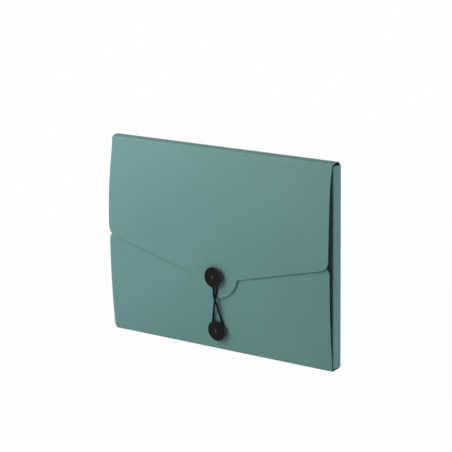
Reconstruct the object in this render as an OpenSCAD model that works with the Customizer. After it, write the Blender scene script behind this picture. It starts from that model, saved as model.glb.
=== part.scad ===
// Three-flap document folder with a cover flap, held shut by an elastic loop on two buttons.
// X runs along the width, -Y is the front and +Z is up.
// The folder stands on the underside of its bottom spine, which lies at Z = 0.

/* [Folder] */
// Width of the folded folder
folder_w = 320; // [240:1:400]
// Height of the folded folder
folder_h = 240; // [220:1:300]
// Depth over the top spine
top_depth = 16; // [13:0.5:24]
// Depth over the bottom spine
bottom_depth = 18.4; // [14:0.2:25]
// Thickness of the sheet
sheet_t = 0.8; // [0.5:0.05:1.2]
// Corner radius of the back panel
back_corner_r = 3; // [1:0.5:10]

/* [Folds] */
// Gap between a fold's bead and the panel edges beside it
fold_gap = 0.1; // [0.05:0.05:0.3]
// Rise of the top spine between its two folds
spine_crown = 1.8; // [0.2:0.1:2.5]
// Set-in of each end of a spine from the folder's side
spine_set_in = 0.8; // [0:0.1:3]

/* [Cover flap] */
// Height at which the cover flap bulges most
cover_bulge_z = 132; // [120:1:160]
// Height of the cover flap's lower corners, before rounding
cover_side_z = 121.3; // [110:0.1:150]
// Slant of the lower edges towards the tongue, in degrees
cover_slant = 13.6; // [5:0.1:18]
// Rounding of the cover flap's lower corners
cover_corner_r = 12.5; // [2:0.5:20]
// Set-in of each side edge from the folder's side
cover_set_in = 0.5; // [0:0.1:4]
// Radius of the tongue
tongue_r = 33.5; // [26:0.5:45]
// Height of the tongue's centre
tongue_z = 97.5; // [92:0.5:110]

/* [Bottom flap] */
// Height of the bottom flap's upper edge
bottom_flap_z = 123.2; // [112:0.1:135]
// Height at which the bottom flap bulges most
bottom_bulge_z = 106; // [95:1:118]
// Bulge of the bottom flap in front of its fold
bottom_bulge = 6.2; // [2:0.1:12]
// Rounding of the bottom flap's upper corners
bottom_corner_r = 9; // [2:0.5:20]

/* [Side flaps] */
// Shortening of a side wall at each end, along its front fold
wall_trim_front = 2; // [1.5:0.1:8]
// Shortening of a side wall at each end, along its back fold
wall_trim_back = 3.2; // [1.5:0.1:10]
// Distance of the side folds behind the top spine's front fold
side_setback = 0.7; // [0.5:0.1:3]
// Width of a side flap, from its fold to its free edge
side_flap_w = 70; // [40:1:85]
// Angle of a side flap's slanted ends, from the horizontal
side_mitre = 50; // [46:1:65]
// Rounding of a side flap's free corners
side_corner_r = 12; // [2:0.5:18]
// Inward lean of a side flap, in degrees
side_lean = 4; // [1:0.5:5]

/* [Buttons] */
// Offset of both buttons to the right of the folder's middle
button_x = 1.5; // [-5:0.1:5]
// Rise of the upper button above the tongue's tip
upper_button_rise = 26.6; // [20:0.1:40]
// Height of the lower button
lower_button_z = 24.4; // [20:0.1:30]
// Diameter of a button's disc
disc_d = 25; // [20:0.2:30]
// Thickness of a button's disc
disc_t = 2.4; // [2.1:0.1:4]
// Rounding of the disc's rim
disc_rim_r = 1; // [0.2:0.1:1]
// Diameter of the upper hub, which carries the loop
upper_hub_d = 8.3; // [7:0.1:15]
// Diameter of the lower hub, which the loop hooks on
lower_hub_d = 14.9; // [10:0.1:18]
// Diameter of a rivet's shank
rivet_d = 3; // [2:0.1:4]
// Diameter of a rivet's domed head
rivet_head_d = 5.2; // [5:0.1:8]
// Height of a rivet's domed head
rivet_head_h = 1.6; // [0.6:0.1:2]
// Diameter of a rivet's flattened tail
rivet_tail_d = 5; // [4.5:0.1:7]
// Thickness of a rivet's flattened tail
rivet_tail_t = 0.35; // [0.2:0.05:0.8]
// Diameter of the washer behind a flap
washer_d = 10; // [8:0.5:16]
// Thickness of the washer behind a flap
washer_t = 0.4; // [0.2:0.05:1]
// Radial clearance of a bore round a rivet
bore_clear = 0.05; // [0.02:0.01:0.1]
// Axial clearance of a disc between its hub and its rivet's head
face_clear = 0.1; // [0.05:0.05:0.3]
// Clearance of a flat piece from the curved sheet it seats on
seat_clear = 0.05; // [0.03:0.01:0.1]
// Clearance of the upper rivet's tail from the bottom flap
tail_clear = 0.45; // [0.3:0.05:2]

/* [Elastic loop] */
// Diameter of the elastic cord
cord_d = 2.5; // [1.5:0.1:3]
// Clearance of the cord from the hubs, discs and flaps
cord_clear = 0.15; // [0.1:0.05:0.5]
// Gap between the two strands where they cross
cross_gap = 0.5; // [0.45:0.05:1.5]

/* [Hidden] */
sheet_colour = [0.41, 0.57, 0.555];
fold_colour = [0.37, 0.52, 0.505];
button_colour = [0.14, 0.14, 0.145];
rivet_colour = [0.2, 0.2, 0.205];
washer_colour = [0.3, 0.3, 0.3];
cord_colour = [0.07, 0.07, 0.07];

// Flat arcs are drawn with many steps, because the sheet is thin beside their radius
arc_steps = 2400;
round_steps = 96;
cut_depth = 4 * top_depth;

// Fold axes, in the middle of the sheet
back_y = top_depth / 2 - sheet_t / 2;
top_front_y = back_y - (top_depth - sheet_t);
bottom_front_y = back_y - (bottom_depth - sheet_t);
side_front_y = top_front_y + side_setback;
side_x = folder_w / 2 - sheet_t / 2;
low_z = sheet_t / 2;
high_z = folder_h - sheet_t / 2;

// Distance from a fold axis to the edge of a panel
panel_edge = sheet_t / 2 + fold_gap;

// The bottom flap and the cover flap's lower part are arcs about one centre
flap_step = sheet_t + seat_clear + washer_t + rivet_tail_t + tail_clear;
bottom_r = (pow(bottom_bulge_z - low_z, 2) + pow(bottom_bulge, 2)) / (2 * bottom_bulge);
bottom_centre_y = bottom_front_y - bottom_bulge + bottom_r;
overlap_r = bottom_r + flap_step;

// The cover flap's upper part is an arc from the top fold to its widest bulge
cover_front_y = bottom_centre_y - overlap_r;
cover_bulge = top_front_y - cover_front_y;
cover_r = (pow(high_z - cover_bulge_z, 2) + pow(cover_bulge, 2)) / (2 * cover_bulge);

// The top spine is a shallow arc between its folds
spine_half = (back_y - top_front_y) / 2;
spine_r = (pow(spine_half, 2) + pow(spine_crown, 2)) / (2 * spine_crown);

// Width of a spine and of the folds beside it
spine_w = folder_w - 2 * spine_set_in;

// Height of the upper button
upper_button_z = tongue_z - tongue_r + upper_button_rise;

// Heights in a button, measured outwards from the front of its flap
hub_h = cord_d + 2 * cord_clear;
disc_base = seat_clear + hub_h + face_clear;
head_base = disc_base + disc_t + face_clear;
tail_base = -sheet_t - seat_clear - washer_t - rivet_tail_t;
bore_d = rivet_d + 2 * bore_clear;

// A section in the YZ plane, drawn along X over a width
module across(w) {
  rotate([90, 0, 90]) linear_extrude(height = w, center = true) children();
}

// An outline in the XZ plane, drawn along Y
module through() {
  rotate([90, 0, 0]) linear_extrude(height = cut_depth, center = true) children();
}

// A band of sheet along a circle of radius r
module sheet_ring(r) {
  difference() {
    circle(r + sheet_t / 2, $fn = arc_steps);
    circle(r - sheet_t / 2, $fn = arc_steps);
  }
}

// The stretch of a sheet ring in front of its centre, from height z0 to z1
module front_arc(r, centre, z0, z1) {
  intersection() {
    translate(centre) sheet_ring(r);
    translate([centre[0] - r - sheet_t, z0]) square([cut_depth, z1 - z0]);
  }
}

// A rectangle with all four corners rounded, centred on the origin
module rounded_rectangle(w, h, r) {
  square([w - 2 * r, h], center = true);
  square([w, h - 2 * r], center = true);
  for (sx = [-1, 1], sz = [-1, 1])
    translate([sx * (w / 2 - r), sz * (h / 2 - r)]) circle(r, $fn = round_steps);
}

// A fold's bead, from one point to another along X or Z
module bead_along_x(y, z) {
  color(fold_colour) translate([0, y, z]) rotate([0, 90, 0])
    cylinder(h = spine_w, d = sheet_t, center = true, $fn = round_steps);
}

module bead_along_z(x, y, trim) {
  color(fold_colour) translate([x, y, trim])
    cylinder(h = folder_h - 2 * trim, d = sheet_t, $fn = round_steps);
}

// Places a piece on a button's axis, with the flap's front at local Z = 0
function button_tilt(z, r) = asin((bottom_bulge_z - z) / r);

module at_button(z, r) {
  tilt = button_tilt(z, r);
  translate([button_x, bottom_centre_y - r * cos(tilt), z]) rotate([90 + tilt, 0, 0]) children();
}

module at_upper() {
  at_button(upper_button_z, overlap_r + sheet_t / 2) children();
}

module at_lower() {
  at_button(lower_button_z, bottom_r + sheet_t / 2) children();
}

// The hole that a rivet takes through the sheet
module rivet_hole() {
  cylinder(h = 6 * sheet_t, d = bore_d, center = true, $fn = round_steps);
}

// Panels of the sheet

module back_panel() {
  panel_w = 2 * (side_x - panel_edge);
  panel_h = high_z - low_z - 2 * panel_edge;
  color(sheet_colour) translate([0, back_y, (low_z + high_z) / 2]) rotate([90, 0, 0])
    linear_extrude(height = sheet_t, center = true) rounded_rectangle(panel_w, panel_h, back_corner_r);
}

module top_spine() {
  middle_y = (back_y + top_front_y) / 2;
  color(sheet_colour) across(spine_w) intersection() {
    translate([middle_y, high_z + spine_crown - spine_r]) sheet_ring(spine_r);
    translate([top_front_y + panel_edge, high_z - sheet_t])
      square([2 * (spine_half - panel_edge), spine_crown + 2 * sheet_t]);
  }
}

module bottom_spine() {
  color(sheet_colour) across(spine_w) translate([bottom_front_y + panel_edge, low_z - sheet_t / 2])
    square([back_y - bottom_front_y - 2 * panel_edge, sheet_t]);
}

module cover_section() {
  front_arc(cover_r, [cover_front_y + cover_r, cover_bulge_z], cover_bulge_z, high_z - panel_edge);
  translate([cover_front_y - sheet_t / 2, bottom_bulge_z]) square([sheet_t, cover_bulge_z - bottom_bulge_z]);
  front_arc(overlap_r, [bottom_centre_y, bottom_bulge_z], low_z, bottom_bulge_z);
}

// Slanted lower edges that run from rounded corners to a round tongue
module cover_outline() {
  half_w = folder_w / 2 - cover_set_in;
  corner_x = half_w - cover_corner_r;
  corner_z = cover_side_z - cover_corner_r * tan(cover_slant) + cover_corner_r / cos(cover_slant);
  slant_x = corner_x + cover_corner_r * sin(cover_slant);
  slant_z = corner_z - cover_corner_r * cos(cover_slant);
  centre_z = cover_side_z - half_w * tan(cover_slant);
  right = [[slant_x, slant_z], [half_w, corner_z], [half_w, folder_h]];
  left = [for (i = [len(right) - 1:-1:0]) [-right[i][0], right[i][1]]];
  polygon(concat([[0, centre_z]], right, left));
  for (side = [-1, 1]) translate([side * corner_x, corner_z]) circle(cover_corner_r, $fn = round_steps);
  translate([0, tongue_z]) circle(tongue_r, $fn = 2 * round_steps);
}

module top_flap() {
  color(sheet_colour) difference() {
    intersection() {
      across(2 * folder_w) cover_section();
      through() cover_outline();
    }
    at_upper() rivet_hole();
  }
}

module bottom_flap() {
  color(sheet_colour) difference() {
    intersection() {
      across(2 * folder_w)
        front_arc(bottom_r, [bottom_centre_y, bottom_bulge_z], low_z + panel_edge, bottom_flap_z + sheet_t);
      through() rounded_rectangle(folder_w, 2 * bottom_flap_z, bottom_corner_r);
    }
    at_lower() rivet_hole();
  }
}

// A side wall is a little shorter along its back fold than along its front fold
module side_wall() {
  front = side_front_y + panel_edge;
  back = back_y - panel_edge;
  color(sheet_colour) translate([side_x, 0, 0]) across(sheet_t) polygon([
    [front, wall_trim_front], [back, wall_trim_back],
    [back, folder_h - wall_trim_back], [front, folder_h - wall_trim_front]]);
}

// Outline of a side flap: its fold at x = 0, its free edge at x = side_flap_w
module side_flap_outline() {
  rise = side_flap_w * tan(side_mitre);
  corner_rise = side_corner_r * tan((90 + side_mitre) / 2 - side_mitre);
  free_z = wall_trim_front + rise;
  intersection() {
    polygon([[panel_edge, wall_trim_front], [side_flap_w, free_z],
      [side_flap_w, folder_h - free_z], [panel_edge, folder_h - wall_trim_front]]);
    union() {
      square([side_flap_w - side_corner_r, folder_h]);
      translate([0, free_z + corner_rise]) square([side_flap_w, folder_h - 2 * (free_z + corner_rise)]);
      for (z = [free_z + corner_rise, folder_h - free_z - corner_rise])
        translate([side_flap_w - side_corner_r, z]) circle(side_corner_r, $fn = round_steps);
    }
  }
}

module side_flap() {
  color(sheet_colour) translate([side_x, side_front_y, 0]) rotate([0, 0, 180 - side_lean])
    rotate([90, 0, 0]) linear_extrude(height = sheet_t, center = true) side_flap_outline();
}

module right_side_wall() { side_wall(); }
module right_inner_flap() { side_flap(); }
module left_side_wall() { mirror([1, 0, 0]) side_wall(); }
module left_inner_flap() { mirror([1, 0, 0]) side_flap(); }

// Folds of the sheet

module top_back_crease() { bead_along_x(back_y, high_z); }
module top_front_crease() { bead_along_x(top_front_y, high_z); }
module bottom_back_crease() { bead_along_x(back_y, low_z); }
module bottom_front_crease() { bead_along_x(bottom_front_y, low_z); }
module left_back_crease() { bead_along_z(-side_x, back_y, wall_trim_back); }
module left_front_crease() { bead_along_z(-side_x, side_front_y, wall_trim_front); }
module right_back_crease() { bead_along_z(side_x, back_y, wall_trim_back); }
module right_front_crease() { bead_along_z(side_x, side_front_y, wall_trim_front); }

// Buttons

module hub(d) {
  color(button_colour) translate([0, 0, seat_clear]) difference() {
    cylinder(h = hub_h, d = d, $fn = round_steps);
    translate([0, 0, -hub_h]) cylinder(h = 3 * hub_h, d = bore_d, $fn = round_steps);
  }
}

// A flat disc with a rounded rim, bored to turn on its rivet
module disc() {
  color(button_colour) translate([0, 0, disc_base]) rotate_extrude($fn = 2 * round_steps)
    difference() {
      union() {
        square([disc_d / 2 - disc_rim_r, disc_t]);
        translate([0, disc_rim_r]) square([disc_d / 2, disc_t - 2 * disc_rim_r]);
        for (z = [disc_rim_r, disc_t - disc_rim_r])
          translate([disc_d / 2 - disc_rim_r, z]) circle(disc_rim_r, $fn = round_steps);
      }
      translate([-bore_d, -disc_t]) square([1.5 * bore_d, 3 * disc_t]);
    }
}

// A rivet: flattened tail, shank and domed head, in one piece
module rivet() {
  dome_r = (pow(rivet_head_d / 2, 2) + pow(rivet_head_h, 2)) / (2 * rivet_head_h);
  color(rivet_colour) rotate_extrude($fn = round_steps) {
    translate([0, tail_base]) square([rivet_tail_d / 2, rivet_tail_t]);
    translate([0, tail_base]) square([rivet_d / 2, head_base - tail_base]);
    intersection() {
      translate([0, head_base + rivet_head_h - dome_r]) circle(dome_r, $fn = 2 * round_steps);
      translate([0, head_base]) square([rivet_head_d / 2, rivet_head_h]);
    }
  }
}

module washer() {
  color(washer_colour) translate([0, 0, -sheet_t - seat_clear - washer_t]) difference() {
    cylinder(h = washer_t, d = washer_d, $fn = round_steps);
    translate([0, 0, -washer_t]) cylinder(h = 3 * washer_t, d = bore_d, $fn = round_steps);
  }
}

module upper_hub() { at_upper() hub(upper_hub_d); }
module upper_disc() { at_upper() disc(); }
module upper_rivet() { at_upper() rivet(); }
module upper_washer() { at_upper() washer(); }
module lower_hub() { at_lower() hub(lower_hub_d); }
module lower_disc() { at_lower() disc(); }
module lower_rivet() { at_lower() rivet(); }
module lower_washer() { at_lower() washer(); }

// Elastic loop: one closed cord that runs round both hubs as a figure of eight

upper_wrap_r = upper_hub_d / 2 + cord_clear + cord_d / 2;
lower_wrap_r = lower_hub_d / 2 + cord_clear + cord_d / 2;
button_gap = upper_button_z - lower_button_z;
strand_tilt = asin((upper_wrap_r + lower_wrap_r) / button_gap);
cross_at = upper_wrap_r / (upper_wrap_r + lower_wrap_r);
edge_at = upper_button_rise / button_gap;

// Heights of the cord's centre above the bottom flap's front
upper_cord_h = flap_step + cord_clear + cord_d / 2;
lower_cord_h = cord_clear + cord_d / 2;
cross_rise = cord_d + cross_gap;
cross_reach = (cross_at * button_gap - disc_d / 2) / button_gap;

strand_steps = 13;
upper_steps = 16;
lower_steps = 20;
cord_sides = 8;

function ease(t) = t <= 0 ? 0 : t >= 1 ? 1 : t * t * (3 - 2 * t);

// Height of a strand at share t of its way down: level on the tongue, then down to the bottom flap
function strand_h(t) = upper_cord_h + (lower_cord_h - upper_cord_h) * ease((t - edge_at) / (1 - edge_at));

// Rise of the front strand over the other one, gone before it reaches a disc
function cross_h(t) = abs(t - cross_at) >= cross_reach ? 0
  : cross_rise * (1 + cos(180 * (t - cross_at) / cross_reach)) / 2;

// A point of the route: x, z and the height above the bottom flap's front
function wrap_point(z, r, angle, h) = [r * cos(angle), z + r * sin(angle), h];
function strand_point(side, t) =
  let (from = wrap_point(upper_button_z, upper_wrap_r, side > 0 ? -strand_tilt : 180 + strand_tilt, 0),
    to = wrap_point(lower_button_z, lower_wrap_r, side > 0 ? 180 - strand_tilt : strand_tilt, 0),
    xz = from + (to - from) * t)
  [xz[0], xz[1], strand_h(t) + (side > 0 ? 0 : cross_h(t))];

wrap_turn = 180 + 2 * strand_tilt;
route = concat(
  [for (i = [0:strand_steps - 1]) strand_point(1, i / strand_steps)],
  [for (i = [0:lower_steps - 1])
    wrap_point(lower_button_z, lower_wrap_r, 180 - strand_tilt + wrap_turn * i / lower_steps, lower_cord_h)],
  [for (i = [0:strand_steps - 1]) strand_point(-1, 1 - i / strand_steps)],
  [for (i = [0:upper_steps - 1])
    wrap_point(upper_button_z, upper_wrap_r, 180 + strand_tilt - wrap_turn * i / upper_steps, upper_cord_h)]);

// Lays a route point on the flaps' common curve
function on_curve(p) =
  let (r = bottom_r + sheet_t / 2 + p[2])
  [p[0] + button_x, bottom_centre_y - sqrt(r * r - pow(p[1] - bottom_bulge_z, 2)), p[1]];

cord_path = [for (p = route) on_curve(p)];
cord_count = len(cord_path);

function unit(v) = v / norm(v);
function cord_ring(i) =
  let (along = unit(cord_path[(i + 1) % cord_count] - cord_path[(i + cord_count - 1) % cord_count]),
    aside = unit(cross(along, [0, -1, 0])),
    out = cross(aside, along))
  [for (k = [0:cord_sides - 1])
    cord_path[i] + cord_d / 2 * (cos(360 * k / cord_sides) * aside + sin(360 * k / cord_sides) * out)];

// Least distance between stretches of the cord that are not neighbours, less its thickness
near_steps = 4;
function steps_apart(i, j) = min(abs(i - j), cord_count - abs(i - j));
loop_gap = min([for (i = [0:cord_count - 1], j = [0:cord_count - 1])
  if (steps_apart(i, j) > near_steps) norm(cord_path[i] - cord_path[j])]) - cord_d;
echo(str("Least gap of the loop to itself: ", loop_gap, " mm"));

module elastic_loop() {
  corners = [for (i = [0:cord_count - 1], p = cord_ring(i)) p];
  sides = [for (i = [0:cord_count - 1], k = [0:cord_sides - 1])
    let (a = i * cord_sides + k,
      b = i * cord_sides + (k + 1) % cord_sides,
      next = ((i + 1) % cord_count) * cord_sides,
      c = next + (k + 1) % cord_sides,
      d = next + k)
    each [[a, b, c], [a, c, d]]];
  color(cord_colour) polyhedron(points = corners, faces = sides);
}

back_panel();
top_spine();
top_flap();
bottom_spine();
bottom_flap();
left_side_wall();
left_inner_flap();
right_side_wall();
right_inner_flap();
top_back_crease();
top_front_crease();
bottom_back_crease();
bottom_front_crease();
left_back_crease();
left_front_crease();
right_back_crease();
right_front_crease();
upper_hub();
upper_disc();
upper_rivet();
upper_washer();
lower_hub();
lower_disc();
lower_rivet();
lower_washer();
elastic_loop();
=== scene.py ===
import math
import bmesh
import bpy
from mathutils import Matrix, Vector


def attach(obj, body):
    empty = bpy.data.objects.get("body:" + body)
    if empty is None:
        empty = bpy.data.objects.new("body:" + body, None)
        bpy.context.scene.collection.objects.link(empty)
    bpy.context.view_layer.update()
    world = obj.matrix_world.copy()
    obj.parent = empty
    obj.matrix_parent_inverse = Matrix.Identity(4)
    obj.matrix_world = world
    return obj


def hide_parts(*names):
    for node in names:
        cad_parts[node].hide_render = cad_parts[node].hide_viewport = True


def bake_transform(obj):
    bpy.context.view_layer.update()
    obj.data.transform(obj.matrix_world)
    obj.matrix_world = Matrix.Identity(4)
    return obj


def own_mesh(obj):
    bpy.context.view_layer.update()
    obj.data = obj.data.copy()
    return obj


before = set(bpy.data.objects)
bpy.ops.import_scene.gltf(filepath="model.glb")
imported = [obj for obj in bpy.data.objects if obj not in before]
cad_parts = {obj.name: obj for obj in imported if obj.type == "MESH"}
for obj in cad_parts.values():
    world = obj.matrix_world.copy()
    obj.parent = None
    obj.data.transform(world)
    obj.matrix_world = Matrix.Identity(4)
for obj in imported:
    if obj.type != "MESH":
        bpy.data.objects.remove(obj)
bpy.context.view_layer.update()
mm = 0.001
xWay, yWay, zWay = Vector((1, 0, 0)), Vector((0, 1, 0)), Vector((0, 0, 1))
print("frame loaded,", len(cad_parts), "nodes")


# a socket with operators, so that shader and geometry maths read as formulas
class Field:
    def __init__(self, tree, socket=None):
        self.tree = tree
        self.socket = socket

    def plug(self, socket, value):
        if isinstance(value, Field):
            self.tree.links.new(value.socket, socket)
        else:
            socket.default_value = value

    def node(self, kind, settings=None, inputs=None, out=0):
        made = self.tree.nodes.new(kind)
        for key, value in (settings or {}).items():
            setattr(made, key, value)
        for key, value in (inputs or {}).items():
            self.plug(made.inputs[key], value)
        return Field(self.tree, made.outputs[out] if len(made.outputs) else None)

    def other(self, name):
        return Field(self.tree, self.socket.node.outputs[name])

    def calc(self, operation, *values):
        return self.node("ShaderNodeMath", {"operation": operation}, dict(enumerate(values)))

    def vector(self, operation, inputs, out="Vector"):
        return self.node("ShaderNodeVectorMath", {"operation": operation}, inputs, out)

    def __add__(self, value):
        return self.calc("ADD", self, value)

    def __radd__(self, value):
        return self.calc("ADD", value, self)

    def __sub__(self, value):
        return self.calc("SUBTRACT", self, value)

    def __rsub__(self, value):
        return self.calc("SUBTRACT", value, self)

    def __mul__(self, value):
        return self.calc("MULTIPLY", self, value)

    def __rmul__(self, value):
        return self.calc("MULTIPLY", value, self)

    def __truediv__(self, value):
        return self.calc("DIVIDE", self, value)

    def __pow__(self, value):
        return self.calc("POWER", self, value)

    def atLeast(self, value):
        return self.calc("MAXIMUM", self, value)

    def atMost(self, value):
        return self.calc("MINIMUM", self, value)

    def ramp(self, low, high, start=0.0, end=1.0):
        return self.node("ShaderNodeMapRange", {"clamp": True, "interpolation_type": "SMOOTHSTEP"}, {
            "Value": self, "From Min": low, "From Max": high, "To Min": start, "To Max": end})

    def mixed(self, first, second):
        return self.node("ShaderNodeMix", {"data_type": "RGBA"}, {0: self, 6: first, 7: second}, 2)


# value on the straight run from first to last, at share t of it
def mix(first, last, t):
    return first + (last - first) * t


def newMaterial(name):
    material = bpy.data.materials.new(name)
    material.use_nodes = True
    material.node_tree.nodes.clear()
    return material, Field(material.node_tree)


def objectPlace(field):
    return field.node("ShaderNodeTexCoord", None, None, "Object")


def noise(field, place, scale, detail, rough=0.5):
    return field.node("ShaderNodeTexNoise", None, {
        "Vector": place, "Scale": scale, "Detail": detail, "Roughness": rough})


# sum of fields, each times its share
def weighted(shares, *fields):
    total = shares[0] * fields[0]
    for share, field in zip(shares[1:], fields[1:]):
        total = total + share * field
    return total


def bumped(field, look, height):
    return field.node("ShaderNodeBump", None, {
        "Strength": look["bump"], "Distance": look["bumpDepth"] * mm, "Height": height}, "Normal")


def surface(field, inputs):
    shader = field.node("ShaderNodeBsdfPrincipled", None, inputs)
    field.node("ShaderNodeOutputMaterial", None, {"Surface": shader})


sheetLook = {
    "deep": (0.141, 0.302, 0.291, 1),
    "pale": (0.154, 0.326, 0.314, 1),
    "edgeHighlight": (0.21, 0.415, 0.395, 1),
    "stress": (0.175, 0.354, 0.34, 1),
    "cloud": {"scale": 14, "detail": 4},
    "grain": {"scale": 1400, "detail": 2, "rough": 0.6},
    "scuff": {"scale": 60, "detail": 5, "rough": 0.65},
    "toneShares": (0.6, 0.4),
    "toneRange": (0.3, 0.7),
    "stressRange": (0.35, 0.65, 0.4, 1),
    "edgeHighlightRange": (0.3, 0.6, 0.55, 1),
    "roughShares": (0.5, 0.5, 0.25),
    "roughRange": (0.25, 0.75, 0.46, 0.6),
    "bumpShares": (0.8, 0.5),
    "bump": 0.12,
    "bumpDepth": 0.08,
    "refraction": 1.49,
    "gloss": 0.28,
}


# matt sheet with a fine grain, paler where it is creased, and with a painted highlight along its cut
# edges and their chamfers
def sheetMaterial(look):
    material, f = newMaterial("sheetPlastic")
    place = objectPlace(f)
    cloud, grain, scuff = [noise(f, place, **look[k]) for k in ("cloud", "grain", "scuff")]
    edge = f.node("ShaderNodeAttribute", {"attribute_name": "edge"}, None, "Fac")
    crease = f.node("ShaderNodeAttribute", {"attribute_name": "crease"}, None, "Fac")
    tone = weighted(look["toneShares"], cloud, grain).ramp(*look["toneRange"])
    colour = tone.mixed(look["deep"], look["pale"])
    colour = (crease * scuff.ramp(*look["stressRange"])).mixed(colour, look["stress"])
    # painted highlight: cut edges and their chamfers are paler, as an edge catching light would look
    colour = (edge * scuff.ramp(*look["edgeHighlightRange"])).mixed(colour, look["edgeHighlight"])
    rough = weighted(look["roughShares"], scuff, grain, edge).ramp(*look["roughRange"])
    bump = bumped(f, look, weighted(look["bumpShares"], grain, scuff))
    surface(f, {"Base Color": colour, "Roughness": rough, "Normal": bump, "IOR": look["refraction"],
        "Specular IOR Level": look["gloss"]})
    return material


# places of the two buttons' middles
buttons = {
    "x": 1.5,
    "upperZ": 90.6,
    "lowerZ": 24.4,
}
hardLook = {
    "grainDetail": (3, 0.6),
    "scuffScale": 0.12,
    "scuffDetail": (5, 0.7),
    "toneShares": (0.5, 0.5),
    "toneRange": (0.35, 0.65),
    "wearRange": (0.66, 0.8, 0, 0.5),
    "roughRange": (0.3, 0.7),
    "bumpDepth": 0.05,
}
buttonLook = {
    **hardLook,
    "deep": (0.0042, 0.0036, 0.0042, 1),
    "pale": (0.0068, 0.006, 0.0068, 1),
    "worn": (0.02, 0.02, 0.0205, 1),
    "grain": 2600,
    "gloss": 0.1,
    "roughness": (0.46, 0.6),
    "bump": 0.18,
    # the rim colour and its distances from a button's middle paint a highlight on each disc's side, as
    # if lit from the right
    "rim": (0.07, 0.068, 0.07, 1),
    "rimHighlightAt": (12.0, 12.35),
}
rivetLook = {
    **hardLook,
    "deep": (0.008, 0.0078, 0.008, 1),
    "pale": (0.013, 0.0125, 0.013, 1),
    "worn": (0.03, 0.03, 0.03, 1),
    "grain": 3200,
    "gloss": 0.2,
    "roughness": (0.26, 0.34),
    "bump": 0.08,
}
washerLook = {
    **hardLook,
    "deep": (0.05, 0.05, 0.05, 1),
    "pale": (0.085, 0.085, 0.085, 1),
    "worn": (0.16, 0.16, 0.16, 1),
    "grain": 2400,
    "gloss": 0.3,
    "roughness": (0.35, 0.55),
    "bump": 0.1,
}


# distance of a point from the nearer button's middle, seen from the front
def buttonReach(field, place):
    flat = field.vector("MULTIPLY", {0: place, 1: (1, 0, 1)})
    upper, lower = [
        field.vector("DISTANCE", {0: flat, 1: (buttons["x"] * mm, 0, buttons[k] * mm)}, "Value")
        for k in ("upperZ", "lowerZ")]
    return upper.atMost(lower)


# black plastic with a fine grain, worn in places and, if its look has a rim, with a painted highlight on
# that rim
def hardMaterial(name, look):
    material, f = newMaterial(name)
    place = objectPlace(f)
    grain = noise(f, place, look["grain"], *look["grainDetail"])
    scuff = noise(f, place, look["grain"] * look["scuffScale"], *look["scuffDetail"])
    tone = weighted(look["toneShares"], grain, scuff).ramp(*look["toneRange"])
    colour = tone.mixed(look["deep"], look["pale"])
    colour = scuff.ramp(*look["wearRange"]).mixed(colour, look["worn"])
    # painted highlight: each disc's side is paler, as where a lamp at the right lights it
    if "rim" in look:
        start, end = look["rimHighlightAt"]
        colour = buttonReach(f, place).ramp(start * mm, end * mm).mixed(colour, look["rim"])
    rough = scuff.ramp(*look["roughRange"], *look["roughness"])
    surface(f, {"Base Color": colour, "Roughness": rough, "Normal": bumped(f, look, grain),
        "Specular IOR Level": look["gloss"]})
    return material


cordLook = {
    "deep": (0.0025, 0.0025, 0.0027, 1),
    "pale": (0.0065, 0.0064, 0.0066, 1),
    "fibre": {"scale": 5200, "detail": 3, "rough": 0.65},
    "patch": {"scale": 420, "detail": 3},
    "toneShares": (0.6, 0.4),
    "toneRange": (0.32, 0.68),
    "roughRange": (0.3, 0.7, 0.74, 0.95),
    "bump": 0.3,
    "bumpDepth": 0.04,
    "gloss": 0.2,
}


def cordMaterial(look):
    material, f = newMaterial("braidedCover")
    place = objectPlace(f)
    fibre, patch = [noise(f, place, **look[k]) for k in ("fibre", "patch")]
    tone = weighted(look["toneShares"], fibre, patch).ramp(*look["toneRange"])
    colour = tone.mixed(look["deep"], look["pale"])
    rough = patch.ramp(*look["roughRange"])
    surface(f, {"Base Color": colour, "Roughness": rough, "Normal": bumped(f, look, fibre),
        "Specular IOR Level": look["gloss"]})
    return material


sheetPlastic = sheetMaterial(sheetLook)
cordCover = cordMaterial(cordLook)
hardMaterials = {
    "button": hardMaterial("buttonPlastic", buttonLook),
    "rivet": hardMaterial("rivetPlastic", rivetLook),
    "washer": hardMaterial("washerPlastic", washerLook),
}
print("materials ready")


# lengths are in millimetres up to the mesh, and places are those of the sheet's middle
# the lip is the chamfer of a cut edge, at most a share of a row's width, and lipTone is how much of the
# painted edge highlight its chamfer gets
sheet = {
    "thickness": 0.8,
    "lip": 0.2,
    "lipShare": 0.125,
    "lipTone": 0.45,
    "tipRows": (3, 1),
    "columnStep": 6.0,
    "leastColumns": 4,
    "leastRun": 1e-6,
    "sharpAngle": 50,
    "halfWidth": 160.0,
    "height": 240.0,
    "backY": 7.6,
    "topFrontY": -7.6,
    "bottomFrontY": -10.0,
    "sideFrontY": -6.9,
    "sideX": 159.6,
    "lowZ": 0.4,
    "highZ": 239.6,
}
# reach of each fold from its corner, its rows, and a margin at both ends of a fold
folds = {
    "topBack": 5.5,
    "topFront": 1.6,
    "bottomBack": 4.0,
    "bottomFront": 1.6,
    "sideBack": 1.4,
    "sideFront": 1.4,
    "steps": 14,
    "margin": 0.3,
}
wide = sheet["halfWidth"]
lowZ, highZ, backY = sheet["lowZ"], sheet["highZ"], sheet["backY"]


def linked(name, data):
    made = bpy.data.objects.new(name, data)
    bpy.context.scene.collection.objects.link(made)
    return made


def tidyNormals(mesh, angle):
    work = bmesh.new()
    work.from_mesh(mesh)
    bmesh.ops.recalc_face_normals(work, faces=work.faces)
    work.to_mesh(mesh)
    work.free()
    smoothed(mesh, angle)


def smoothed(mesh, angle):
    mesh.shade_smooth()
    mesh.set_sharp_from_angle(angle=math.radians(angle))


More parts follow.
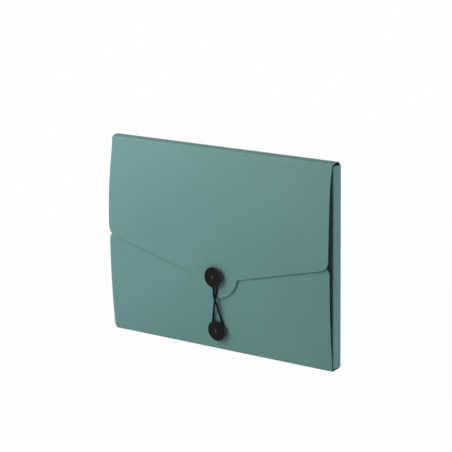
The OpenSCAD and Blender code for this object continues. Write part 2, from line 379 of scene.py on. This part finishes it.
# heights or places from low to high, no further apart than the step
def spread(low, high, step):
    count = max(1, math.ceil(abs(high - low) / step))
    return [low + (high - low) * i / count for i in range(count + 1)]


# last rows of a free end: a support row, the full row and the chamfered tip
def freeRows(end, beside):
    lip = sheet["lip"]
    point, normal, low, high, inset, half, _ = end
    back = (beside[0] - point).normalized()
    full = [(point + back * lip * k, normal, low, high, inset, half, 0.0) for k in sheet["tipRows"]]
    return full + [(point, normal, low, high, inset, half - lip, lip)]


# rows with the width of the chamfer at both ends, half the thickness and the shrinking of a tip
def chamferedRows(rows, freeEnd):
    lip = sheet["lip"]
    steps = []
    for i, (point, normal, low, high) in enumerate(rows):
        before = rows[max(i - 1, 0)]
        after = rows[min(i + 1, len(rows) - 1)]
        run = max((after[0] - before[0]).length, sheet["leastRun"])
        lean = [abs(after[k] - before[k]) / run for k in (2, 3)]
        inset = [min(lip * math.sqrt(1 + s * s), (high - low) * sheet["lipShare"]) for s in lean]
        steps.append((point, normal, low, high, inset, sheet["thickness"] / 2, 0.0))
    if freeEnd:
        steps = steps[:-1] + freeRows(steps[-1], steps[-2])
    return steps


# one ring round a sheet: places along and out, each with its share of cut edge, which the material
# paints with a highlight
def sheetRing(low, high, inset, thick, shrink, columns):
    start, end = low + inset[0] + shrink, high - inset[1] - shrink
    first, last = start + 2 * inset[0], end - 2 * inset[1]
    inner = [mix(first, last, k / (columns + 2)) for k in range(columns + 3)]
    bare = 1.0 if shrink else 0.0
    lipTone = max(bare, sheet["lipTone"])
    front = [(start, thick, lipTone), *[(t, thick, bare) for t in inner], (end, thick, lipTone)]
    back = [(t, -offset, tone) for t, offset, tone in reversed(front)]
    rim = thick if shrink else thick - sheet["lip"]
    return front + [(high - shrink, rim, 1.0), (high - shrink, -rim, 1.0)] + back + [
        (low + shrink, -rim, 1.0), (low + shrink, rim, 1.0)]


# a closed sheet with a small chamfer on every cut edge
# a row is its middle point, its outward normal and the sheet's two ends along the direction across
def sheetObject(name, rows, across, freeEnd=False, crease=0.0):
    widest = max(high - low for _, _, low, high in rows)
    columns = max(sheet["leastColumns"], round(widest / sheet["columnStep"]))
    steps = chamferedRows(rows, freeEnd)
    points, edges, bends, faces = [], [], [], []
    for i, (point, normal, *ends) in enumerate(steps):
        bend = crease * math.sin(math.pi * i / (len(steps) - 1)) ** 2
        for along, out, tone in sheetRing(*ends, columns):
            points.append((point + across * along + normal * out) * mm)
            edges.append(tone)
            bends.append(bend)

    ring = len(points) // len(steps)
    for i in range(len(steps) - 1):
        for k in range(ring):
            n = (k + 1) % ring
            faces.append((i * ring + k, i * ring + n, (i + 1) * ring + n, (i + 1) * ring + k))
    count = ring // 2 - 2
    for base in (0, (len(steps) - 1) * ring):
        for k in range(count - 1):
            m = 2 * count + 1 - k
            faces.append((base + k, base + k + 1, base + m - 1, base + m))
        faces.append((base + count - 1, base + count, base + count + 1, base + count + 2))
        faces.append((base, base + 2 * count + 1, base + 2 * count + 2, base + 2 * count + 3))

    mesh = bpy.data.meshes.new(name)
    mesh.from_pydata(points, [], faces)
    # edge marks the cut edges, which the material makes rougher and paints with a highlight
    for label, values in (("edge", edges), ("crease", bends)):
        mesh.attributes.new(label, "FLOAT", "POINT").data.foreach_set("value", values)
    made = linked(name, mesh)
    mesh.materials.append(sheetPlastic)
    tidyNormals(mesh, sheet["sharpAngle"])
    return made


def panelObject(made, body, node):
    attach(made, body)
    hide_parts(node)


# a smooth bend from one point and direction to another, with the handles of a circle's arc
# low and high are the sheet's two ends, each at the start and at the end of the bend
def foldRows(start, startWay, end, endWay, low, high):
    startWay, endWay = startWay.normalized(), endWay.normalized()
    turn = startWay.angle(endWay)
    reach = (end - start).length * 2 / 3 * math.tan(turn / 4) / math.sin(turn / 2)
    p = [start, start + startWay * reach, end - endWay * reach, end]
    flip = startWay.cross(endWay).normalized()
    rows = []
    for i in range(folds["steps"] + 1):
        t = i / folds["steps"]
        u = 1 - t
        point = p[0] * u ** 3 + p[1] * 3 * u * u * t + p[2] * 3 * u * t * t + p[3] * t ** 3
        way = (p[1] - p[0]) * u * u + (p[2] - p[1]) * 2 * u * t + (p[3] - p[2]) * t * t
        rows.append((point, way.normalized().cross(flip), mix(*low, t), mix(*high, t)))
    return rows


# the bend piece itself, left in place between the two bodies that it joins
def foldObject(name, rows, across, node):
    made = sheetObject(name, rows, across, crease=1.0)
    start, end = rows[0][0], rows[-1][0]
    inset = (end - start).normalized() * folds["margin"]
    (start + inset) * mm
    (end - inset) * mm
    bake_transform(made)
    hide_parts(node)


# half widths of a spine are those at its front, at its back and where its back fold ends
spine = {
    "crown": 1.8,
    "radius": 16.944,
    "top": (159.5, 159.0, 158.2),
    "topStep": 0.7,
    "bottom": (159.6, 159.0, 158.0),
    "bottomRise": 0.3,
    "leftCut": 1.5,
    "bottomStep": 1.5,
    "backStep": 8,
}


# height of the crowned top spine and its slope at depth y
def spineZ(y):
    return highZ + spine["crown"] - spine["radius"] + math.sqrt(spine["radius"] ** 2 - y * y)


def spineSlope(y):
    return -y / math.sqrt(spine["radius"] ** 2 - y * y)


# back panel and spines, the spines a little narrower towards the back
sideInner = sheet["sideX"] - folds["sideBack"]
lowBackZ = lowZ + spine["bottomRise"]
backLow, backHigh = lowBackZ + folds["bottomBack"], highZ - folds["topBack"]
rows = []
for z in spread(backLow, backHigh, spine["backStep"]):
    rows.append((Vector((0, backY, z)), yWay, -sideInner, sideInner))
panelObject(sheetObject("backPanel", rows, xWay), "back", "back_panel")

spineFront, spineBack = sheet["topFrontY"] + folds["topFront"], backY - folds["topBack"]
topWide, topNarrow, topEnd = spine["top"]
rows = []
for y in spread(spineFront, spineBack, spine["topStep"]):
    half = mix(topWide, topNarrow, (y - spineFront) / (spineBack - spineFront))
    normal = Vector((0, -spineSlope(y), 1)).normalized()
    rows.append((Vector((0, y, spineZ(y))), normal, -half, half))
panelObject(sheetObject("topSpine", rows, xWay), "top_spine", "top_spine")

bottomFront = sheet["bottomFrontY"] + folds["bottomFront"]
bottomBack = backY - folds["bottomBack"]
lowWide, lowNarrow, lowEnd = spine["bottom"]
lowLeft = spine["leftCut"] - wide
lowSlope = spine["bottomRise"] / (bottomBack - bottomFront)
lowNormal = Vector((0, lowSlope, -1)).normalized()
rows = []
for y in spread(bottomFront, bottomBack, spine["bottomStep"]):
    t = (y - bottomFront) / (bottomBack - bottomFront)
    left, right = mix(lowLeft, -lowNarrow, t), mix(lowWide, lowNarrow, t)
    rows.append((Vector((0, y, mix(lowZ, lowBackZ, t))), lowNormal, left, right))
panelObject(sheetObject("bottomSpine", rows, xWay), "bottom_spine", "bottom_spine")
print("back and spines built")


# a geometry tree that takes geometry, a material and named numbers
def newTree(name, numbers):
    tree = bpy.data.node_groups.new(name, "GeometryNodeTree")
    kinds = {"Geometry": "Geometry", "Material": "Material", **numbers}
    sockets = {}
    for label, kind in kinds.items():
        made = tree.interface.new_socket(label, in_out="INPUT", socket_type="NodeSocket" + kind)
        sockets[label] = made.identifier
    tree.interface.new_socket("Geometry", in_out="OUTPUT", socket_type="NodeSocketGeometry")
    f = Field(tree)
    return f, f.node("NodeGroupInput"), sockets


# every tree ends with real geometry in the given material
def endTree(f, given, geometry):
    real = f.node("GeometryNodeRealizeInstances", None, {"Geometry": geometry})
    dressed = f.node("GeometryNodeSetMaterial", None, {
        "Geometry": real, "Material": given.other("Material")})
    f.node("NodeGroupOutput", None, {"Geometry": dressed})


# runs a tree on an object once and keeps the result as a plain mesh
def bake(made, tree, sockets, values):
    modifier = made.modifiers.new("shape", "NODES")
    modifier.node_group = tree
    for label, value in values.items():
        modifier[sockets[label]] = value
    graph = bpy.context.evaluated_depsgraph_get()
    mesh = bpy.data.meshes.new_from_object(made.evaluated_get(graph))
    made.modifiers.remove(modifier)
    made.data = mesh
    mesh.name = made.name


bottom = {
    "front": -16.2,
    "lowZ": 106.0,
    "lowRadius": 902.403,
    "highZ": 106.0,
    "highRadius": 902.403,
    "topZ": 123.2,
    "cornerRadius": 9.0,
    "cornerSteps": 12,
    "rowStep": 3,
    "cutHeight": 3.0,
    "lift": 0.0,
    "ripple": 0.1,
    "seed": 8.0,
}
# the cover lies this far in front of the bottom flap, on an arc with the same centre
coverStep = 2.05
# left and right say how far each side edge comes in at a height
cover = {
    "halfWidth": 159.5,
    "front": bottom["front"] - coverStep,
    "lowZ": bottom["lowZ"],
    "lowRadius": bottom["lowRadius"] + coverStep,
    "highZ": 132.0,
    "highRadius": 548.88,
    "sideZ": 121.3,
    "slant": 13.6,
    "cornerRadius": 12.5,
    "left": [(120, 0.0), (180, 0.0), (222, 0.6), (232, 0.3), (239, -0.4)],
    "right": [(120, -0.4), (150, -0.4), (180, 0.2), (205, 1.2), (222, 1.7), (239, 1.5)],
    "wanderFrom": 100,
    "tongueRadius": 33.5,
    "tongueZ": 97.5,
    "rowStep": 5,
    "cornerSteps": 12,
    "slantSteps": 10,
    "tongueSteps": 36,
    "tipStop": 0.5,
    "lift": 0.7,
    "ripple": 0.16,
    "seed": 3.0,
}
# ripple and curled corner of the flaps, in metres as the tree has them
flapShape = {
    "waveScale": 9.0,
    "waveDetail": 1.0,
    "fadeReach": (0.0, 0.05),
    "liftAcross": (0.06, 0.16),
    "liftHeight": (0.12, 0.19),
}


# a rule of arcs lays a flat flap on its bulge, with a faint ripple that dies out at the fold
# and a lift of its lower right corner
def bowTree():
    labels = ["Front", "Low Height", "Low Radius", "High Height", "High Radius", "Fold Height",
        "Lift", "Ripple", "Seed"]
    f, given, sockets = newTree("bowSheet", {label: "Float" for label in labels})
    front, lowHeight, lowRadius, highHeight, highRadius, foldHeight, lift, ripple, seed = [
        given.other(label) for label in labels]
    split = f.node("ShaderNodeSeparateXYZ", None, {0: f.node("GeometryNodeInputPosition")})
    x, offset, z = [split.other(axis) for axis in "XYZ"]
    over = (z - highHeight).atLeast(0.0)
    under = (z - lowHeight).atMost(0.0)
    a = (highRadius * highRadius - over * over) ** 0.5
    b = (lowRadius * lowRadius - under * under) ** 0.5
    slope = over / a + under / b
    length = (1 + slope * slope) ** 0.5
    flat = f.node("ShaderNodeCombineXYZ", None, {"X": x, "Y": seed, "Z": z})
    wave = f.node("ShaderNodeTexNoise", {"noise_dimensions": "3D"}, {
        "Vector": flat, "Scale": flapShape["waveScale"], "Detail": flapShape["waveDetail"]})
    fade = f.calc("ABSOLUTE", z - foldHeight).ramp(*flapShape["fadeReach"])
    curl = lift * x.ramp(*flapShape["liftAcross"]) * (1 - z.ramp(*flapShape["liftHeight"]))
    bulge = front + highRadius - a + lowRadius - b
    y = bulge + offset / length + (wave - 0.5) * ripple * fade - curl
    moved = f.node("ShaderNodeCombineXYZ", None, {"X": x, "Y": y, "Z": z - offset * slope / length})
    laid = f.node("GeometryNodeSetPosition", None, {
        "Geometry": given.other("Geometry"), "Position": moved})
    endTree(f, given, laid)
    return f.tree, sockets


bowSheet, bowSockets = bowTree()


def bowed(made, flap, foldZ):
    bake(made, bowSheet, bowSockets, {
        "Front": flap["front"] * mm,
        "Low Height": flap["lowZ"] * mm,
        "Low Radius": flap["lowRadius"] * mm,
        "High Height": flap["highZ"] * mm,
        "High Radius": flap["highRadius"] * mm,
        "Fold Height": foldZ * mm,
        "Lift": flap["lift"] * mm,
        "Ripple": flap["ripple"] * mm,
        "Seed": flap["seed"],
        "Material": sheetPlastic,
    })
    smoothed(made.data, sheet["sharpAngle"])
    return made


# depth of a flap's bulge and its slope at height z, by the tree's own rule, so that folds meet flaps
def bow(flap, z):
    over = max(z - flap["highZ"], 0)
    under = min(z - flap["lowZ"], 0)
    a = math.sqrt(flap["highRadius"] ** 2 - over ** 2)
    b = math.sqrt(flap["lowRadius"] ** 2 - under ** 2)
    y = flap["front"] + flap["highRadius"] - a + flap["lowRadius"] - b
    return y, over / a + under / b


# value of a table of heights and values, with straight runs between its entries
def between(table, z):
    for (low, first), (high, last) in zip(table, table[1:]):
        if z <= high:
            return first + (last - first) * max(z - low, 0) / (high - low)
    return table[-1][1]


# heights and half widths of the cover flap, from its fold down to the tip of its tongue
def coverOutline(foldZ):
    slant = math.radians(cover["slant"])
    r = cover["cornerRadius"]
    half = cover["halfWidth"]
    cornerX = half - r
    cornerZ = cover["sideZ"] - r * math.tan(slant) + r / math.cos(slant)
    outline = [(z, half) for z in spread(foldZ, cornerZ, cover["rowStep"])]
    for i in range(1, cover["cornerSteps"] + 1):
        angle = (math.pi / 2 - slant) * i / cover["cornerSteps"]
        outline.append((cornerZ - r * math.sin(angle), cornerX + r * math.cos(angle)))

    # the slanted edge runs to where it meets the tongue's circle
    slope, tip, ring = math.tan(slant), cover["tongueZ"], cover["tongueRadius"]
    base = cover["sideZ"] - half * slope - tip
    meetX = (-base * slope + math.sqrt(ring ** 2 * (1 + slope ** 2) - base ** 2)) / (1 + slope ** 2)
    meetZ = tip + base + slope * meetX
    startZ, startX = outline[-1]
    for i in range(1, cover["slantSteps"] + 1):
        t = i / cover["slantSteps"]
        outline.append((mix(startZ, meetZ, t), mix(startX, meetX, t)))

    # the last row stops short of the tip, where the flap would have no width
    first = math.asin((tip - meetZ) / ring)
    for i in range(1, cover["tongueSteps"] + 1):
        angle = mix(first, math.pi / 2, i / (cover["tongueSteps"] + cover["tipStop"]))
        outline.append((tip - ring * math.sin(angle), ring * math.cos(angle)))
    return outline


# both side edges of the cover wander a little, as on a cut and folded sheet
coverFold = highZ - folds["topFront"]
rows = []
for z, x in coverOutline(coverFold):
    share = max(0, x - cover["wanderFrom"]) / (cover["halfWidth"] - cover["wanderFrom"])
    left = share * between(cover["left"], z) - x
    right = x - share * between(cover["right"], z)
    rows.append((Vector((0, 0, z)), -yWay, left, right))
_, _, coverLeft, coverRight = rows[0]
panelObject(bowed(sheetObject("coverFlap", rows, xWay), cover, coverFold), "cover_flap", "top_flap")

# the bottom flap's left lower corner is cut in, and its upper corners are round
lowerFold = lowZ + folds["bottomFront"]
r = bottom["cornerRadius"]
cornerZ = bottom["topZ"] - r
rows = []
for z in spread(lowerFold, cornerZ, bottom["rowStep"]):
    left = mix(lowLeft, -wide, min((z - lowerFold) / bottom["cutHeight"], 1))
    rows.append((Vector((0, 0, z)), -yWay, left, wide))
for i in range(1, bottom["cornerSteps"] + 1):
    angle = math.pi / 2 * i / bottom["cornerSteps"]
    x = wide - r + r * math.cos(angle)
    rows.append((Vector((0, 0, cornerZ + r * math.sin(angle))), -yWay, -x, x))
panelObject(bowed(sheetObject("bottomFlap", rows, xWay), bottom, lowerFold), "lower_flap", "bottom_flap")
print("front flaps built")


# folds of the top and bottom
rows = foldRows(
    Vector((0, backY, backHigh)), zWay,
    Vector((0, spineBack, spineZ(spineBack))), Vector((0, -1, -spineSlope(spineBack))),
    (-topEnd, -topNarrow), (topEnd, topNarrow))
foldObject("topBackFold", rows, xWay, "top_back_crease")

y, slope = bow(cover, coverFold)
rows = foldRows(
    Vector((0, spineFront, spineZ(spineFront))), Vector((0, -1, -spineSlope(spineFront))),
    Vector((0, y, coverFold)), Vector((0, -slope, -1)),
    (-topWide, coverLeft), (topWide, coverRight))
foldObject("topFrontFold", rows, xWay, "top_front_crease")

rows = foldRows(
    Vector((0, backY, backLow)), -zWay,
    Vector((0, bottomBack, lowBackZ)), Vector((0, -1, -lowSlope)),
    (-lowEnd, -lowNarrow), (lowEnd, lowNarrow))
foldObject("bottomBackFold", rows, xWay, "bottom_back_crease")

y, slope = bow(bottom, lowerFold)
rows = foldRows(
    Vector((0, bottomFront, lowZ)), Vector((0, -1, -lowSlope)),
    Vector((0, y, lowerFold)), Vector((0, slope, 1)),
    (lowLeft, lowLeft), (lowWide, wide))
foldObject("bottomFrontFold", rows, xWay, "bottom_front_crease")
print("top and bottom folds built")


# trims are the wall's distances from the folder's two ends, at its back and at its front
sideFlap = {
    "bottomTrim": (1.4, 2.7),
    "topTrim": (2.4, 1.8),
    "wallStep": 1.2,
    "trim": 2.0,
    "straight": 0.5,
    "width": 70.0,
    "mitre": 50.0,
    "cornerRadius": 12.0,
    "lean": 4.0,
    "rowStep": 4,
    "cornerSteps": 8,
}


# lower end of a side flap at distance u from its fold
def mitreZ(u):
    mitre = math.radians(sideFlap["mitre"])
    trim, straight, width = sideFlap["trim"], sideFlap["straight"], sideFlap["width"]
    r = sideFlap["cornerRadius"]
    freeZ = trim + width * math.tan(mitre)
    across = u - width + r
    if across > r * math.sin(mitre):
        centre = freeZ + r * math.tan((math.pi / 2 - mitre) / 2)
        return centre - math.sqrt(max(r * r - across * across, 0))
    return trim + max(u - straight, 0) * (freeZ - trim) / (width - straight)


def sidePieces(side, name):
    x, frontY, tall = side * sheet["sideX"], sheet["sideFrontY"], sheet["height"]
    out = xWay * side
    lean = math.radians(sideFlap["lean"])
    inward = Vector((-side * math.cos(lean), math.sin(lean), 0))
    flapNormal = Vector((-side * math.sin(lean), -math.cos(lean), 0))
    wallBack, wallFront = backY - folds["sideBack"], frontY + folds["sideFront"]

    # the wall's two ends at depth y
    def wallEnds(y):
        t = (backY - y) / (backY - frontY)
        return mix(*sideFlap["bottomTrim"], t), tall - mix(*sideFlap["topTrim"], t)

    rows = [(Vector((x, y, 0)), out, *wallEnds(y))
        for y in spread(wallBack, wallFront, sideFlap["wallStep"])]
    panelObject(sheetObject(name + "SideWall", rows, zWay), name + "_wall", name + "_side_wall")

    corner = Vector((x, frontY, 0))
    width = sideFlap["width"]
    bend = width - sideFlap["cornerRadius"] * (1 - math.sin(math.radians(sideFlap["mitre"])))
    reach = spread(folds["sideFront"], bend, sideFlap["rowStep"])
    for i in range(1, sideFlap["cornerSteps"]):
        reach.append(mix(bend, width, math.sin(math.pi / 2 * i / sideFlap["cornerSteps"])))
    rows = [(corner + inward * u, flapNormal, mitreZ(u), tall - mitreZ(u)) for u in reach]
    flap = sheetObject(name + "InnerFlap", rows, zWay, freeEnd=True)
    panelObject(flap, name + "_flap", name + "_inner_flap")

    low, high = wallEnds(backY)
    rows = foldRows(
        Vector((side * sideInner, backY, 0)), out, Vector((x, wallBack, 0)), -yWay,
        (low, low), (high, high))
    foldObject(name + "BackFold", rows, zWay, name + "_back_crease")

    low, high = wallEnds(wallFront)
    flapLow = mitreZ(folds["sideFront"])
    rows = foldRows(
        Vector((x, wallFront, 0)), -yWay, corner + inward * folds["sideFront"], inward,
        (low, flapLow), (high, tall - flapLow))
    foldObject(name + "FrontFold", rows, zWay, name + "_front_crease")


sidePieces(1, "right")
sidePieces(-1, "left")
print("side walls, inner flaps and their folds built")


# heights are those of the cord's middle above the bottom flap's front
# crossReach and tongueEdge are shares of a strand's length
loop = {
    "upperWrap": 5.55,
    "lowerWrap": 8.85,
    "diameter": 2.6,
    "upperHeight": 3.45,
    "lowerHeight": 1.4,
    "crossRise": 2.0,
    "crossReach": 0.1966,
    "tongueEdge": 0.402,
    "strandSteps": 60,
    "lowerSteps": 60,
    "upperSteps": 50,
    "carriers": 12,
    "turns": 34.0,
    "yarn": 0.25,
    "yarnSides": 5,
    "weave": 0.1,
    "coreSides": 12,
    "coreShare": 0.3,
    "step": 0.45,
    "sharpAngle": 80,
    "keptLength": 0.8,
}


def ease(t):
    t = min(max(t, 0), 1)
    return t * t * (3 - 2 * t)


# one closed route: down behind, round the lower hub, up in front, round the upper hub
def loopRoute():
    upperZ, lowerZ = buttons["upperZ"], buttons["lowerZ"]
    upperR, lowerR = loop["upperWrap"], loop["lowerWrap"]
    upperH, lowerH = loop["upperHeight"], loop["lowerHeight"]
    tilt = math.asin((upperR + lowerR) / (upperZ - lowerZ))
    crossAt = upperR / (upperR + lowerR)
    turn = math.pi + 2 * tilt

    def wrap(z, r, angle, h):
        return r * math.cos(angle), z + r * math.sin(angle), h

    # the cord comes down past the tongue's edge, and the front strand rises over the other one
    def strand(side, t):
        a = wrap(upperZ, upperR, -tilt if side > 0 else math.pi + tilt, 0)
        b = wrap(lowerZ, lowerR, math.pi - tilt if side > 0 else tilt, 0)
        h = mix(upperH, lowerH, ease((t - loop["tongueEdge"]) / (1 - loop["tongueEdge"])))
        away = abs(t - crossAt) / loop["crossReach"]
        if side < 0 and away < 1:
            h += loop["crossRise"] * (1 + math.cos(math.pi * away)) / 2
        return mix(a[0], b[0], t), mix(a[1], b[1], t), h

    steps, lowerSteps, upperSteps = loop["strandSteps"], loop["lowerSteps"], loop["upperSteps"]
    route = [strand(1, i / steps) for i in range(steps)]
    for i in range(lowerSteps):
        route.append(wrap(lowerZ, lowerR, math.pi - tilt + turn * i / lowerSteps, lowerH))
    route += [strand(-1, 1 - i / steps) for i in range(steps)]
    for i in range(upperSteps):
        route.append(wrap(upperZ, upperR, math.pi + tilt - turn * i / upperSteps, upperH))

    # laid on the arc of the bottom flap's front
    half = sheet["thickness"] / 2
    front, radius = bottom["front"] - half, bottom["lowRadius"] + half
    placed = []
    for x, z, h in route:
        y = front + radius - math.sqrt((radius + h) ** 2 - (z - bottom["lowZ"]) ** 2)
        placed.append(Vector((x + buttons["x"], y, z)) * mm)
    return placed


# a core with braided yarns that pass over and under each other along the route
def braidTree():
    labels = ["Radius", "Yarn", "Weave", "Turns", "Step"]
    numbers = {"Carriers": "Int", **{label: "Float" for label in labels}}
    f, given, sockets = newTree("braidedLoop", numbers)
    radius, yarn, weave, turns, step = [given.other(label) for label in labels]
    carriers = given.other("Carriers")

    def circle(sides, size):
        return f.node("GeometryNodeCurvePrimitiveCircle", {"mode": "RADIUS"}, {
            "Resolution": sides, "Radius": size})

    def tube(curve, profile):
        return f.node("GeometryNodeCurveToMesh", None, {"Curve": curve, "Profile Curve": profile})

    path = f.node("GeometryNodeMeshToCurve", None, {"Mesh": given.other("Geometry")})
    path = f.node("GeometryNodeResampleCurve", {"mode": "LENGTH"}, {"Curve": path, "Length": step})
    middle = radius - yarn - weave
    core = tube(path, circle(loop["coreSides"], middle + loop["coreShare"] * yarn))

    # every second yarn winds the other way, and its distance swings as it meets the others
    copies = f.node("GeometryNodeDuplicateElements", {"domain": "SPLINE"}, {
        "Geometry": path, "Amount": carriers})
    index = copies.other("Duplicate Index")
    way = 1 - 2 * f.calc("MODULO", index, 2.0)
    pairs = carriers / 2
    share = f.node("GeometryNodeSplineParameter", None, None, "Factor")
    angle = 2 * math.pi * (way * turns * share + f.calc("FLOOR", index / 2) / pairs)
    reach = middle + way * weave * f.calc("COSINE", angle * pairs)
    normal = f.node("GeometryNodeInputNormal")
    aside = f.vector("CROSS_PRODUCT", {0: f.node("GeometryNodeInputTangent"), 1: normal})
    first = f.vector("SCALE", {0: normal, "Scale": reach * f.calc("COSINE", angle)})
    second = f.vector("SCALE", {0: aside, "Scale": reach * f.calc("SINE", angle)})
    shift = f.vector("ADD", {0: first, 1: second})
    laid = f.node("GeometryNodeSetPosition", None, {"Geometry": copies, "Offset": shift})
    yarns = tube(laid, circle(loop["yarnSides"], yarn))

    joined = f.node("GeometryNodeJoinGeometry", None, {"Geometry": core})
    f.plug(joined.socket.node.inputs["Geometry"], yarns)
    endTree(f, given, f.node("GeometryNodeSetShadeSmooth", None, {"Geometry": joined}))
    return f.tree, sockets


route = loopRoute()
mesh = bpy.data.meshes.new("elasticLoop")
mesh.from_pydata(route, [(i, (i + 1) % len(route)) for i in range(len(route))], [])
elastic = linked("elasticLoop", mesh)
bake(elastic, *braidTree(), {
    "Material": cordCover,
    "Carriers": loop["carriers"],
    "Radius": loop["diameter"] / 2 * mm,
    "Yarn": loop["yarn"] * mm,
    "Weave": loop["weave"] * mm,
    "Turns": loop["turns"],
    "Step": loop["step"] * mm,
})
tidyNormals(elastic.data, loop["sharpAngle"])
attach(elastic, "cover_flap")
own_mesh(elastic)
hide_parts("elastic_loop")
print("elastic loop braided,", len(elastic.data.polygons), "faces")


# buttons keep their CAD shapes
finishes = {"disc": "button", "hub": "button", "rivet": "rivet", "washer": "washer"}
for height in ("upper", "lower"):
    for kind, finish in finishes.items():
        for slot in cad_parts[height + "_" + kind].material_slots:
            slot.material = hardMaterials[finish]
print("buttons dressed")


studio = {
    "white": (1, 1, 1, 1),
    "floor": (0.86, 0.86, 0.86, 1),
    "floorHalf": 8,
    "floorGlow": (0.2, 0.8, 0.98, 1),
    "ambient": 0.015,
    "key": {"place": (-0.5, -0.66, 0.62), "aim": (0, 0, 0.12), "size": 0.9, "power": 8.5},
    "side": {"place": (1.6, -0.06, 0.5), "aim": (0.16, 0, 0.12), "size": 0.3, "power": 8.1},
    "rear": {"place": (-0.3, 1.3, 0.3), "aim": (0, 0, 0.12), "size": 0.5, "power": 11.0},
}


def areaLight(name, place, aim, size, power):
    data = bpy.data.lights.new(name, "AREA")
    data.shape = "SQUARE"
    data.size = size
    data.energy = power
    light = linked(name, data)
    light.location = place
    light.rotation_euler = (Vector(aim) - Vector(place)).to_track_quat("-Z", "Y").to_euler()


for name in ("key", "side", "rear"):
    areaLight(name + "Softbox", **studio[name])


# rays that see the white surroundings: the camera's, and those that gloss and glass send on
def whiteRays(field):
    path = field.node("ShaderNodeLightPath", None, None, "Is Camera Ray")
    return path.atLeast(path.other("Is Glossy Ray")).atLeast(path.other("Is Transmission Ray"))


world = bpy.data.worlds.new("studio")
world.use_nodes = True
world.node_tree.nodes.clear()
f = Field(world.node_tree)
room = f.node("ShaderNodeBackground", None, {"Color": studio["white"], "Strength": studio["ambient"]})
white = f.node("ShaderNodeBackground", None, {"Color": studio["white"], "Strength": 1.0})
shader = f.node("ShaderNodeMixShader", None, {0: whiteRays(f), 1: room, 2: white})
f.node("ShaderNodeOutputWorld", None, {"Surface": shader})
bpy.context.scene.world = world

# a floor that stays white but for a faint shadow close to the folder
material, f = newMaterial("paleFloor")
away = f.vector("LENGTH", {0: objectPlace(f)}, "Value")
matte = f.node("ShaderNodeBsdfDiffuse", None, {"Color": studio["floor"]})
glow = f.node("ShaderNodeEmission", None, {"Color": studio["white"], "Strength": 1.0})
share = whiteRays(f) * away.ramp(*studio["floorGlow"])
shader = f.node("ShaderNodeMixShader", None, {0: share, 1: matte, 2: glow})
f.node("ShaderNodeOutputMaterial", None, {"Surface": shader})
mesh = bpy.data.meshes.new("floor")
half = studio["floorHalf"]
corners = [(-half, -half, 0), (half, -half, 0), (half, half, 0), (-half, half, 0)]
mesh.from_pydata(corners, [], [(0, 1, 2, 3)])
mesh.materials.append(material)
floor = linked("floor", mesh)
print("studio lit")


shot = {
    "place": (1.2868, -1.7133, 0.6537),
    "azimuth": 36.82,
    "elevation": 13.29,
    "roll": -0.69,
    "lens": 149.73,
    "sensor": 36,
    "clipEnd": 50,
}
a, e, roll = [math.radians(shot[k]) for k in ("azimuth", "elevation", "roll")]
back = Vector((math.sin(a) * math.cos(e), -math.cos(a) * math.cos(e), math.sin(e)))
level = (-back).cross(zWay).normalized()
upright = level.cross(-back)
right = level * math.cos(roll) + upright * math.sin(roll)
up = upright * math.cos(roll) - level * math.sin(roll)
data = bpy.data.cameras.new("camera")
data.lens = shot["lens"]
data.sensor_width = shot["sensor"]
data.clip_end = shot["clipEnd"]
camera = linked("camera", data)
camera.matrix_world = Matrix.Translation(shot["place"]) @ Matrix((right, up, back)).transposed().to_4x4()
bpy.context.scene.camera = camera
bpy.context.scene.view_settings.view_transform = "Standard"
print("camera set")
